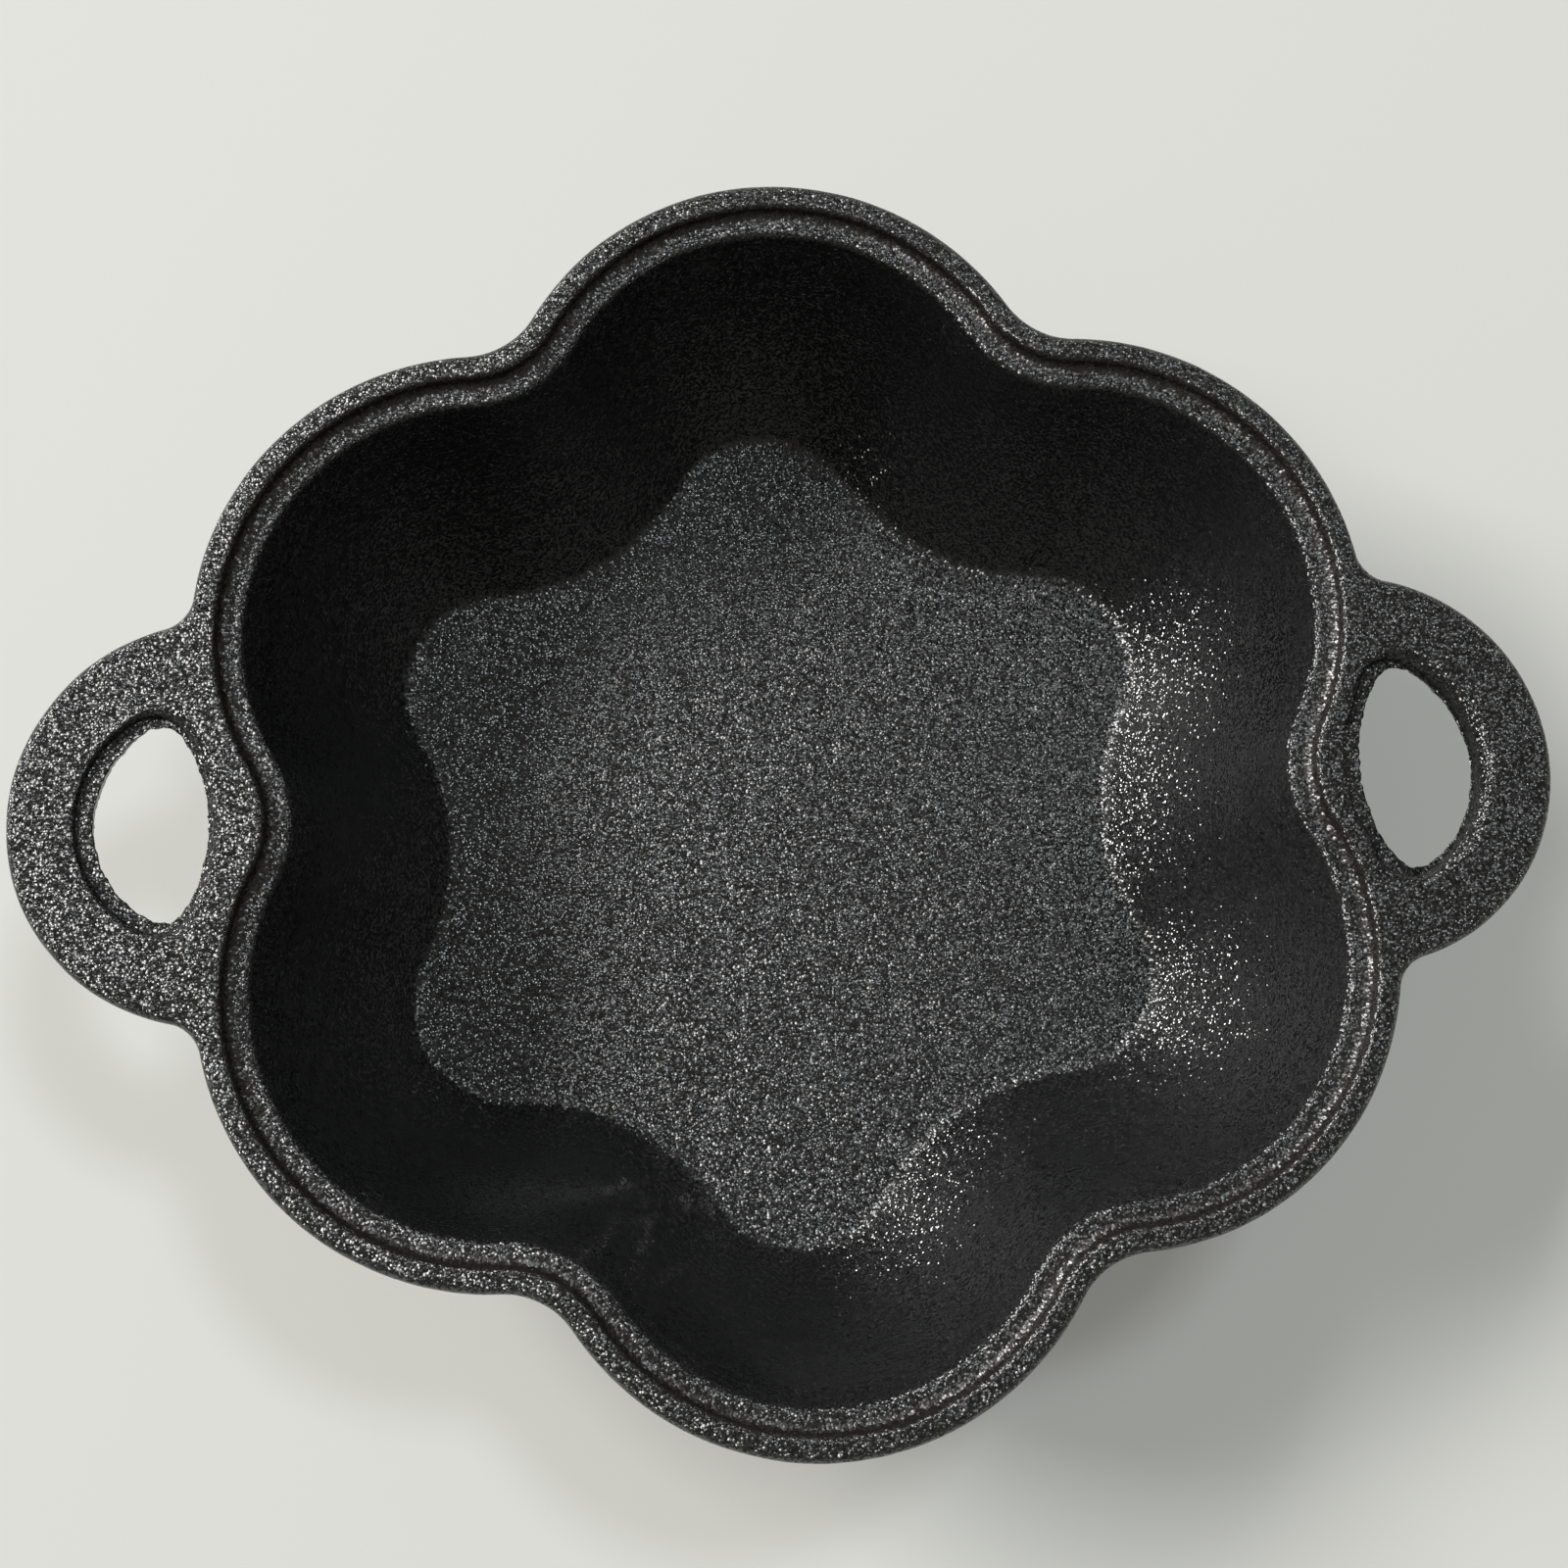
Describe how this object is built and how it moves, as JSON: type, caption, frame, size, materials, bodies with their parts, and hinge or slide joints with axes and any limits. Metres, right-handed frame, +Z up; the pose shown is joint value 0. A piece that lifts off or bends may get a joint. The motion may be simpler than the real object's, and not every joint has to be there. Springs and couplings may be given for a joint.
{
  "type": "garlic roaster",
  "caption": "Cast iron garlic roaster pan: a flower-shaped bowl of rounded lobes with a stepped lid seat round its rim and a flat loop handle with a finger hole at each end.",
  "frame": {"origin": "under the middle of the pan, on the plane that it stands on", "axes": "+X towards one handle, +Y across the pan to the middle of a lobe, +Z up out of the bowl"},
  "size_m": [0.2074, 0.1726, 0.0433],
  "materials": {
    "cast_iron": "as-cast pebbled iron, seasoned black, with a satin sheen"
  },
  "bodies": {
    "root": {"roaster_pan": "cast_iron"}
  },
  "joints": []
}
